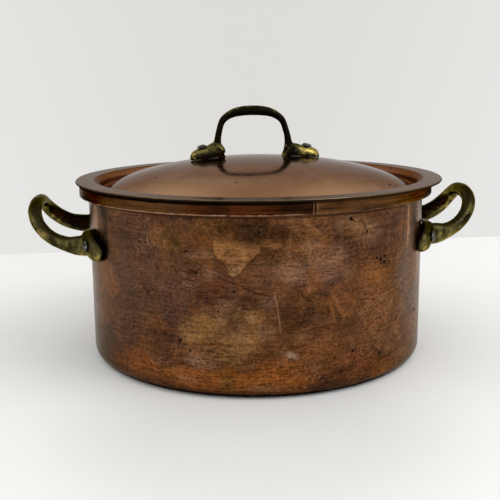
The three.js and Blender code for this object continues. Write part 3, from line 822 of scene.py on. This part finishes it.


# painted shade: the side handles darken on their upward faces
side_brass = cast_brass("side_handle_brass", 0.2, 0.95, 0.9)
root_bearing = np.arcsin(loop_spread / wall_radius)
for name, bearing, tilt, height, reach, rise, half_height in loop_places:
    half_path = loop_path_shares * (loop_spread, reach, rise)
    path = through(np.concatenate([half_path, half_path[:-1][::-1] * (-1, 1, 1)]), 150)
    wide, out, up = path.T
    path = np.stack([wall_radius + out, wide, height + wide * tan(tilt) + up], -1)
    to_middle = 1 - np.abs(np.linspace(-1, 1, len(path)))
    depth = loop_half_depth * np.interp(to_middle, np.linspace(0, 1, 6), loop_depth_shares)
    tall = half_height * np.interp(to_middle, np.linspace(0, 1, 12), loop_height_shares)
    to_rear = wide * cos(bearing) / arm_run
    front_lift, rear_lift, rear_tall = arm_shifts[name]
    path[:, 2] += rear_lift * to_rear.clip(0, 1) + front_lift * (-to_rear).clip(0, 1)
    tall = tall * (1 + (rear_tall - 1) * to_rear.clip(0, 1) * (to_middle / arm_share).clip(0, 1))
    grids = [swept(path, (0, 0, 1), depth, tall)]
    foot_length = foot_heel + foot_toe
    way, across, lift = spade(loop_foot_shares, foot_half_width, foot_thickness, foot_length)
    way = way - foot_heel
    for side in (-1, 1):
        angle = root_bearing + way / wall_radius
        out = wall_radius + fit_gap + lift
        beside = side * out * np.sin(angle)
        line_height = height + beside * tan(tilt) - (way - foot_middle) * foot_droop
        grids.append(np.stack([out * np.cos(angle), beside, line_height + side * across], -1))
    spin = np.array(Matrix.Rotation(bearing, 3, "Z"))
    node = "side_handle_" + name
    casting = cast(node, [grid @ spin.T for grid in grids], loop_lumps, 21)
    points = triples(casting.vertices, "co")
    radius = np.hypot(points[:, 0], points[:, 1])
    points[:, :2] *= (np.maximum(radius, wall_radius + fit_gap / 3) / radius)[:, None]
    casting.vertices.foreach_set("co", points.ravel())
    fit_piece("loop_" + name, casting, "pot", "cast_brass", [node], side_brass)


# Rivets of the side handles: one through each foot and the wall. The outer head is hammered to a
# low lumpy dome and the inner head is a flat button.
rivet_shank, rivet_head, rivet_rise = 0.003, 0.0041, 0.0021
inner_head, inner_rise = 0.0065, 0.0016
hammer_blow = 0.0006
# how far lobes draw a head in and lower it, and the depth and width of the dimple between them
lobe_draw, lobe_drop, dimple_depth, dimple_width = 0.09, 0.12, 0.25, 0.35


def rivet_grid(shank, head, rise, inner, inner_thick, grip, seed, lobes=0):
    """Rivet along Z about its seat at zero: a revolved outline whose head is dented by hammer
    blows, or squeezed to lobes: the radius then grows with the cosine of the lobes, and the middle
    is dimpled."""
    dome = np.linspace(0.25, pi / 2, 22)[1:]
    outline = np.concatenate([
        [(0, -grip - inner_thick)],
        arc(inner - inner_thick / 2, -grip - inner_thick / 2, inner_thick / 2, -pi / 2, 0, 5),
        [(inner, -grip), (shank, -grip), (shank, 0)],
        arc(head - rise / 4, rise / 4, rise / 4, -pi / 2, 0, 5),
        np.stack([head * np.cos(dome), rise * np.sin(dome)], -1),
    ])
    outline[-1, 0] = 0
    grid = turned(outline, full_turn(72))
    on_head = np.clip(grid[..., 2] / (rise / 2), 0, 1)[..., None]
    dent = 0.6 * relief(grid, head * 1.1, seed) + 0.4 * relief(grid, head * 0.5, seed + 1) - 0.6
    outward = grid / np.linalg.norm(grid, axis=-1, keepdims=True).clip(1e-6)
    grid = grid + outward * (hammer_blow * dent)[..., None] * on_head
    if lobes:
        lobe = 1 - np.cos(lobes * np.arctan2(grid[..., 1], grid[..., 0]) + seed)
        out = np.hypot(grid[..., 0], grid[..., 1]) / head
        grid[..., :2] *= 1 - lobe_draw * lobe[..., None] * on_head
        dimple = dimple_depth * np.exp(-((out / dimple_width) ** 2))
        grid[..., 2] -= on_head[..., 0] * rise * (dimple + lobe_drop * lobe * out.clip(0, 1))
    return grid


rivet_finish, place = new_material("hammered_rivet")
scale_marks = place.noise(420, 6, 0.65, 0.5)
colour = scale_marks.ramp(
    (0.38, paint(44, 40, 35)), (0.5, paint(84, 80, 74)), (0.64, paint(142, 140, 138))
)
gloss = (0.30 + (scale_marks - 0.5) * 0.5).most(0.14)
place.metal(colour, gloss, scale_marks, 0.0002, (0.7, 0.7, 0.7)).close()

side_grip = foot_thickness + wall_sheet + 3 * fit_gap
for name, bearing, tilt, height, *_ in loop_places:
    front = -1 if cos(bearing) > 0 else 1
    for end, side in (("front", front), ("rear", -front)):
        beside = side * (root_bearing + foot_rivet / wall_radius)
        angle = bearing + beside
        seat_height = height + (wall_radius + fit_gap + foot_thickness) * sin(beside) * tan(tilt)
        seat = Matrix.Rotation(angle, 4, "Z")
        seat = seat @ Matrix.Translation((wall_radius + fit_gap + foot_thickness, 0, seat_height))
        seat = np.array(seat @ Matrix.Rotation(pi / 2, 4, "Y"))
        seed = 40 + 3 * (name == "right") + (end == "rear")
        grid = rivet_grid(
            rivet_shank, rivet_head, rivet_rise, inner_head, inner_rise, side_grip, seed
        )
        mesh = skin("side_rivet", grid @ seat[:3, :3].T + seat[:3, 3])
        node = "rivet_" + name + "_" + end
        fit_piece("side_" + node, mesh, "pot", "rivet_metal", [node], rivet_finish)


# Lid: one raised sheet of copper. A flat flange rests on the rim, a well drops into the mouth,
# and a low dome rises from it. It is polished smoother than the pot, and its inside is tinned.
lid_low, lid_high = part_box("lid")
lid_middle = (lid_high.x + lid_low.x) / 2
lid_sheet = 0.0015
flange_ease, well_play, turn_ease, well_depth = 0.00001, 0.0026, 0.0013, 0.0083
flange_radius = (lid_high.x - lid_low.x) / 2 - flange_ease
flange_top = pot_height + fit_gap + lid_sheet
well_wall = wall_radius - wall_sheet - well_play - lid_sheet
well_turn = rim_turn + lid_sheet - turn_ease
valley_radius = 0.002
valley_height = flange_top - well_depth + valley_radius
valley_lean = radians(36)
dome_edge = well_wall - valley_radius * (1 + sin(valley_lean))
dome_edge_height = valley_height - valley_radius * cos(valley_lean)
dome_round_share = 0.7
# depth and length of the dome's faint waves, and how far above the flange they begin
dome_wave, dome_wave_length, above_flange = 0.0001, 0.06, 0.002


def dome_height(radius):
    """The dome falls with the square of the way out, and near its edge with the eighth power."""
    share = radius / dome_edge
    fall = dome_round_share * share ** 2 + (1 - dome_round_share) * share ** 8
    return lid_high.z - (lid_high.z - dome_edge_height) * fall


def sheet_under(top, thickness):
    """The same outline one thickness inside, each point moved square to its neighbours."""
    along = np.gradient(top, axis=0)
    along /= np.linalg.norm(along, axis=1, keepdims=True)
    inner = top + thickness * np.stack([along[:, 1], -along[:, 0]], -1)
    inner[0, 0] = 0
    return inner[::-1]


lid_finish, place = new_material("lid_copper")
reach = place.from_axis(lid_middle)
lid_cloud = place.noise(13, 4, 0.55, 0.4)
lid_small = place.noise(110, 6, 0.6, 0.3)
colour = (lid_cloud * 0.65 + lid_small * 0.35).ramp(
    (0.36, paint(150, 120, 100)), (0.5, paint(168, 138, 117)), (0.64, paint(182, 153, 131))
)
aside = abs(place.part("X"))
# painted reflection: a warm light band on the front foot of the dome, lighter away from its middle
to_front = place.part("Y") * -1 + lid_cloud * 0.02 - aside * 0.25
front_reflection = reach.between(0.072, 0.098) * to_front.between(0.035, 0.085)
front_reflection_tone = aside.between(0.006, 0.052).tint(paint(150, 107, 76), paint(190, 150, 116))
colour = (front_reflection * 0.85).tint(colour, front_reflection_tone)
flange_part = reach.between(well_wall - 0.001, well_wall + 0.005)
colour = (flange_part * 0.85).tint(colour, paint(132, 114, 88))
# painted shade: the well's groove and wall are painted a darker orange, and are rougher
well_shade = reach.between(dome_edge - 0.003, dome_edge + 0.001)
well_shade = well_shade * reach.between(well_wall + 0.0052, well_wall + 0.003)
colour = (well_shade * 0.85).tint(colour, paint(130, 82, 52))
specks = (place.cells(80) + lid_small * 0.1).between(0.18, 0.13)
specks = specks * place.noise(24, 2).between(0.47, 0.54)
colour = (specks * 0.85).tint(colour, paint(44, 26, 16))
gloss = 0.145 + (lid_small - 0.5) * 0.16 + (lid_cloud - 0.5) * 0.10
gloss = (gloss + well_shade * 0.2 + flange_part * 0.08).most(0.09)
lid_metal = place.metal(colour, gloss, lid_small - specks, 0.00002, (0.42, 0.36, 0.34))
# painted shadow: the lower half of the flange's rim is black diffuse, for the dark gap over the
# band
rim_shadow = place.part("Z") + (lid_small - 0.5) * 0.0004
rim_shadow = rim_shadow.between(flange_top - 0.0001, flange_top - 0.0005)
rim_shadow = rim_shadow * reach.between(flange_radius - 0.0014, flange_radius - 0.0006)
(rim_shadow * 0.95).shade(lid_metal, place.matt(paint(24, 15, 9))).close()

dome_reach = dome_edge * np.linspace(0, 1, 52)[:-1] ** 0.85
lid_top = np.concatenate([
    np.stack([dome_reach, dome_height(dome_reach)], -1),
    arc(well_wall - valley_radius, valley_height, valley_radius, -pi / 2 - valley_lean, 0, 12),
    arc(well_wall + well_turn, flange_top - well_turn, well_turn, pi, pi / 2, 12),
    line((well_wall + well_turn, flange_top), (flange_radius - lid_sheet / 2, flange_top), 8)[1:],
])
half_sheet = lid_sheet / 2
lid_rim = arc(flange_radius - half_sheet, flange_top - half_sheet, half_sheet, pi / 2, -pi / 2, 9)
lid_profile = np.concatenate([lid_top, lid_rim, sheet_under(lid_top, lid_sheet)])
lid_grid = turned(lid_profile, full_turn(turns))
on_dome = lid_grid[..., 2] > flange_top + above_flange
lid_grid[..., 2] -= dome_wave * (1 + relief(lid_grid, dome_wave_length, 5)) * on_dome
lid_grid[..., 0] += lid_middle
lid_mesh = skin("lid_sheet", lid_grid)
fit_piece("lid_sheet", lid_mesh, "lid", "lid_copper", ["lid"], lid_finish, tin_finish)
facing = triples(lid_mesh.polygons, "normal")
outward = triples(lid_mesh.polygons, "center")[:, :2] - (lid_middle, 0)
spread = np.linalg.norm(outward, axis=1)
faces_out = (facing[:, :2] * outward).sum(-1) / spread > 0.5
faces_down = (facing[:, 2] < 0.02) & (faces_out | (facing[:, 2] < -0.02))
under = faces_down & (spread < flange_radius - lid_sheet)
lid_mesh.polygons.foreach_set("material_index", under.astype(np.int32))


# Lid handle: a cast brass bail with two feet. It sits a little behind the crown and is turned,
# as it was fitted by hand, and the heel of its left foot stands off the dome.
bail_spread, bail_rise = 0.0258, 0.0325
bail_half_width, bail_half_depth = 0.0041, 0.0037
bail_middle = Vector((lid_middle - 0.00325, 0.008, 0))
bail_turn = radians(9)
# name, side, tilt, heel, rivet and toe of each foot from the middle of its leg
bail_ends = (
    ("left", -1, radians(11.3), 0.0048, 0.012, 0.0211),
    ("right", 1, radians(6.2), 0.0029, 0.014, 0.0236),
)
# how far the bar leans to the left at its top
bail_lean = 0.0008
bail_foot_half, bail_foot_thick = 0.0075, 0.0073
# shares of the spread and rise along half the bail, from its foot to its top
bail_path_shares = np.array([
    [1.05, -0.03], [1.015, 0.32], [0.955, 0.56], [0.83, 0.8], [0.5, 0.955], [0, 1],
])
# shares of its half width and half depth, from the foot to the top
bail_width_shares = [1.2, 0.92, 0.82, 0.8, 0.9, 1]
bail_depth_shares = [1.9, 1.12, 0.78, 0.67, 0.64, 0.67, 0.75, 0.86, 0.95, 1, 1]
# shares of a foot's length, half width and thickness, from its heel to its toe
bail_foot_shares = np.array([
    [0, 0.62, 0.34], [0.04, 0.74, 0.62], [0.11, 0.85, 0.95], [0.2, 0.92, 1.15],
    [0.36, 0.98, 1.2], [0.52, 1, 1.06], [0.72, 0.95, 1], [0.86, 0.82, 0.9],
    [0.94, 0.66, 0.74], [0.98, 0.5, 0.54], [1, 0.3, 0.34],
])
# the left sole leaves the dome at this way from its leg, and is fully off it this much further in
open_from, open_over = 0.003, 0.005
bail_lumps = 0.0001


def on_bail(along, across, up):
    """Places from the way along the bail's line, the way across it and the height."""
    x = along * cos(bail_turn) - across * sin(bail_turn) + bail_middle.x
    y = along * sin(bail_turn) + across * cos(bail_turn) + bail_middle.y
    return np.stack(np.broadcast_arrays(x, y, up), -1)


def dome_under(along):
    """Height of the dome under a place on the bail's line."""
    at = on_bail(along, 0, 0)
    return dome_height(np.hypot(at[..., 0] - lid_middle, at[..., 1]))


def sole_height(side, tilt, toe, way):
    """Height of the tilted line of one foot's seat, which meets the dome at the toe."""
    return dome_under(side * (bail_spread + toe)) + fit_gap + (toe - way) * tan(tilt)


def bedded(side, tilt, toe, way, lift):
    """Heights of a foot whose sole was filed to the dome, though the left heel stands off it."""
    line_up = sole_height(side, tilt, toe, way)
    bed = dome_under(side * (bail_spread + way)) + fit_gap / 3
    open_heel = np.clip((open_from - way) / open_over, 0, 1) if side < 0 else 0
    sole = bed + (line_up - bed) * open_heel
    return sole + lift * (line_up + bail_foot_thick - sole) / bail_foot_thick


half_path = bail_path_shares * (bail_spread, bail_rise)
path = through(np.concatenate([half_path, half_path[:-1][::-1] * (-1, 1)]), 130)
lean = bail_lean * path[:, 1].clip(0) / bail_rise
path = on_bail(path[:, 0] - lean, 0, lid_high.z + path[:, 1])
to_middle = 1 - np.abs(np.linspace(-1, 1, len(path)))
width = bail_half_width * np.interp(to_middle, np.linspace(0, 1, 6), bail_width_shares)
depth = bail_half_depth * np.interp(to_middle, np.linspace(0, 1, 11), bail_depth_shares)
across_bail = np.array([-sin(bail_turn), cos(bail_turn), 0])
grids = [swept(path, across_bail, depth, width)]
for name, side, tilt, heel, rivet, toe in bail_ends:
    way, across, lift = spade(bail_foot_shares, bail_foot_half, bail_foot_thick, heel + toe)
    way = way - heel
    up = bedded(side, tilt, toe, way, lift)
    grids.append(on_bail(side * (bail_spread + way), side * across, up))
# painted shade: the bail darkens on its sides and undersides, and is lighter below this height, as
# a painted highlight on its feet
bail_brass = cast_brass("lid_handle_brass", 0.95, 0.45, 1, lid_high.z + 0.013)
bail_mesh = cast("bail", grids, bail_lumps, 31)
fit_piece("bail", bail_mesh, "lid", "cast_brass", ["lid_handle"], bail_brass)


# Rivets of the lid handle: one through each foot and the lid. Their heads were closed by hand
# and are the lumpiest on the pot.
lid_shank, lid_head, lid_rise = 0.0024, 0.0042, 0.0027
lid_inner, lid_inner_rise = 0.0052, 0.0014
for name, side, tilt, heel, rivet, toe in bail_ends:
    sole = sole_height(side, tilt, toe, rivet)
    seat = on_bail(side * (bail_spread + rivet), 0, sole + bail_foot_thick)
    through_lid = bail_foot_thick + lid_sheet
    edges = np.array([-1, 0, 1])
    way = edges * lid_inner * cos(tilt) - through_lid * sin(tilt)
    under = dome_under(side * (bail_spread + rivet + way)) - lid_sheet - fit_gap
    grip = float(np.max((seat[2] - edges * lid_inner * sin(tilt) - under) / cos(tilt)))
    lean = np.array(Matrix.Rotation(bail_turn, 3, "Z") @ Matrix.Rotation(side * tilt, 3, "Y"))
    grid = rivet_grid(lid_shank, lid_head, lid_rise, lid_inner, lid_inner_rise, grip, 61 + side, 3)
    mesh = skin("crown_rivet", grid @ lean.T + seat)
    node = "lid_rivet_" + name
    fit_piece("crown_rivet_" + name, mesh, "lid", "rivet_metal", [node], rivet_finish)
